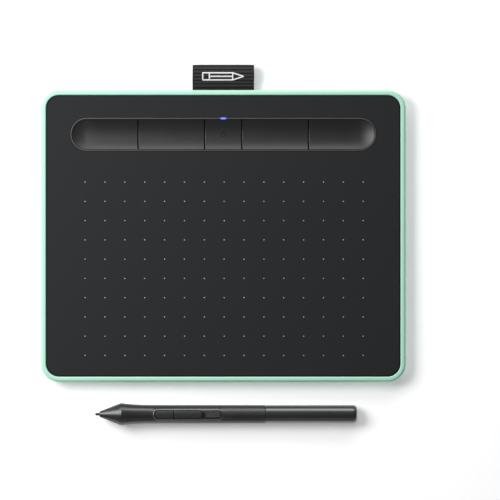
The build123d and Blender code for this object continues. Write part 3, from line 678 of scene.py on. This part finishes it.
# ---------------------------------------------------------------- print on the tablet and the pen
def guide_dots(finish):
    """The grid of printed dots: each is a low disc, three rings of points and a middle one."""
    columns, rows, sides = 15, 10, 12
    aside = 0.5 * MM
    centre = np.array([TABLET.x + aside, TABLET.y - AREA_FORWARD])
    across, deep = np.linspace(-0.5, 0.5, columns) * AREA_WIDE, np.linspace(-0.5, 0.5, rows) * AREA_DEEP
    places = np.stack(np.meshgrid(across, deep), -1).reshape(-1, 2) + centre
    turn = np.linspace(0, 2 * np.pi, sides, endpoint=False)
    rim = np.stack([np.cos(turn), np.sin(turn)], -1)
    profile = [(DOT_R, -0.002 * MM), (DOT_R, 0.010 * MM), (DOT_R * 0.8, 0.014 * MM)]
    rings = [np.column_stack([rim * radius, np.full(sides, height)]) for radius, height in profile]
    one = np.concatenate(rings + [[[0, 0, 0.015 * MM]]])
    points = one[None] + np.column_stack([places, np.full(len(places), SHEET_TOP)])[:, None]
    walls = grid_faces(len(rings), sides, closed=True)[:, ::-1]
    k, last, middle = np.arange(sides), (len(rings) - 1) * sides, len(rings) * sides
    cap = np.stack([last + k, last + (k + 1) % sides, np.full(sides, middle)], -1)
    base = (np.arange(len(places)) * len(one))[:, None, None]
    faces = (walls[None] + base).reshape(-1, 4).tolist() + (cap[None] + base).reshape(-1, 3).tolist()
    return mesh_piece("guide_dots", points, faces, finish)


def dish_height(y):
    """Height of the dished keys at each y: a round trough whose lowest line is the keys' middle.

    Its radius is the one of a circle's cap of that half width and depth."""
    radius = (DISH_HALF**2 + DISH_DEPTH**2) / (2 * DISH_DEPTH)
    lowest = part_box("power_key")[1].z - DISH_DEPTH
    return lowest + radius - np.sqrt(radius**2 - (y - middle_of("key_surround").y) ** 2)


def power_mark(finish):
    """The printed power sign in the dish: a ring open at the top and a short bar in its opening.

    Each is a strip four points wide, first laid out flat and then raised to the dish's height."""
    centre = middle_of("key_surround")
    ring_r, width, proud = 1.25 * MM, 0.26 * MM, 0.02 * MM
    ring_steps, bar_steps, wide = 64, 12, 4
    angle = np.linspace(math.radians(125), math.radians(415), ring_steps)[:, None]
    radius = ring_r + np.linspace(0.5, -0.5, wide) * width
    ring = np.stack([radius * np.cos(angle), radius * np.sin(angle)], -1)
    bar_y = np.linspace(1.35, 0.35, bar_steps) * ring_r
    bar = np.stack(np.meshgrid(np.linspace(-0.5, 0.5, wide) * width, bar_y), -1)
    faces = np.concatenate([grid_faces(ring_steps, wide), grid_faces(bar_steps, wide) + ring_steps * wide])
    flat = np.concatenate([ring.reshape(-1, 2), bar.reshape(-1, 2)]) + (centre.x, centre.y)
    z = dish_height(flat[:, 1]) + proud
    return mesh_piece("power_mark", np.column_stack([flat, z]), faces.tolist(), finish)


# ---------------------------------------------------------------- put the finishes on the parts
DETAILED = {
    "mint_plastic": mint_shell, "foot_rubber": foot_rubber, "drawing_film": drawing_film,
    "cover_plastic": cover_plastic, "key_plastic": key_plastic, "light_window": light_window,
    "woven_ribbon": woven_ribbon, "pen_plastic": pen_plastic, "pen_gloss": pen_gloss,
    "bezel_plastic": bezel_plastic, "button_plastic": button_plastic, "nib_polymer": nib_polymer,
    "circuit_board": circuit_board, "battery_foil": battery_foil, "flex_film": flex_film,
    "coil_copper": coil_copper, "lead_insulation": lead_insulation,
}
HIDDEN_METALS = {
    "screw_steel": ((0.55, 0.55, 0.57), 0.30),
    "switch_metal": ((0.70, 0.70, 0.70), 0.25),
    "socket_steel": ((0.66, 0.66, 0.64), 0.28),
    "shield_metal": ((0.68, 0.69, 0.70), 0.35),
}
HIDDEN_RESINS = {
    "chip_resin": ((0.02, 0.02, 0.021), 0.50),
    "led_resin": ((0.75, 0.80, 0.90), 0.15),
    "insulator": ((0.02, 0.02, 0.02), 0.45),
    "connector_plastic": ((0.72, 0.70, 0.62), 0.45),
    "ferrite": ((0.045, 0.045, 0.047), 0.60),
}


def finish_for(slot):
    """The finish of a slot: its own function's, or a plain metal or resin for what is hidden."""
    if slot in DETAILED:
        return DETAILED[slot]()
    if slot in HIDDEN_METALS:
        return plain_metal(slot, *HIDDEN_METALS[slot])
    return plain_resin(slot, *HIDDEN_RESINS[slot])


def dress_parts():
    """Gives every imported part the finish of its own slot, and returns the finishes by slot."""
    finishes = {row["slot"]: finish_for(row["slot"]) for row in frame["record"]["materials"]}
    for row in frame["record"]["subparts"]:
        part = frame["nodes"][row["node"]]
        for place in part.material_slots:
            place.material = finishes[row["material_slot"]].material
    return finishes


# ---------------------------------------------------------------- studio
def dim_sky():
    """An even white sky, dim enough for the lights to do the work."""
    world = bpy.data.worlds.new("sky")
    world.use_nodes = True
    sky = world.node_tree.nodes["Background"].inputs
    sky["Color"].default_value = (1.0, 1.0, 1.0, 1.0)
    sky["Strength"].default_value = 0.09
    bpy.context.scene.world = world


def white_floor():
    """A wide sheet of white paper that glows a little, so that it stays white under the soft shadows."""
    reach = 3.0
    corners = [(-reach, -reach, 0), (reach, -reach, 0), (reach, reach, 0), (-reach, reach, 0)]
    paper = Finish("floor_paper", Roughness=0.9, Specular_IOR_Level=0.1)
    fibre = paper.noise(3 * MM, 3)
    white = paper.mix(fibre, (0.90, 0.90, 0.90), (0.92, 0.92, 0.92))
    paper.set(Base_Color=white, Emission_Color=white, Emission_Strength=0.30)
    mesh = bpy.data.meshes.new("floor")
    mesh.from_pydata(corners, [], [(0, 1, 2, 3)])
    mesh.materials.append(paper.material)
    floor = bpy.data.objects.new("floor", mesh)
    bpy.context.scene.collection.objects.link(floor)


def soft_light(name, place, size, power):
    """A light of the width and height given, turned to the middle of the tablet."""
    light = bpy.data.lights.new(name, "AREA")
    light.shape = "RECTANGLE"
    light.size, light.size_y = size
    light.energy = power
    lamp = bpy.data.objects.new(name, light)
    lamp.location = place
    aim = TABLET - lamp.location
    lamp.rotation_euler = aim.to_track_quat("-Z", "Y").to_euler()
    bpy.context.scene.collection.objects.link(lamp)


def camera():
    """A long lens high above, looking straight down, to the right and in front of the tablet's middle."""
    view_wide, height = 274 * MM, 2.6
    right, forward = 14.65 * MM, 7.72 * MM
    eye = bpy.data.cameras.new("camera")
    eye.sensor_width = 36.0
    eye.lens = eye.sensor_width * height / view_wide
    eye.clip_end = 20.0
    holder = bpy.data.objects.new("camera", eye)
    holder.location = (TABLET.x + right, TABLET.y - forward, SHEET_TOP + height)
    bpy.context.scene.collection.objects.link(holder)
    bpy.context.scene.camera = holder


camera()
bpy.context.scene.view_settings.view_transform = "Standard"
dim_sky()
white_floor()
soft_light("back_light", (0.0, 1.05, 0.62), (1.3, 0.55), 9.0)
soft_light("near_light", (-0.46, 0.20, 0.54), (0.45, 0.45), 6.2)
soft_light("front_light", (0.1, -1.1, 0.55), (1.4, 0.3), 0.6)

finishes = dress_parts()
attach(loop_ribbon(finishes["woven_ribbon"]), "tablet")
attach(loop_motif(motif_thread()), "tablet")
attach(guide_dots(printed_ink("dot_ink", 0.50, 0.5)), "tablet")
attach(power_mark(printed_ink("mark_ink", 0.003, 0.12)), "power_key_body")
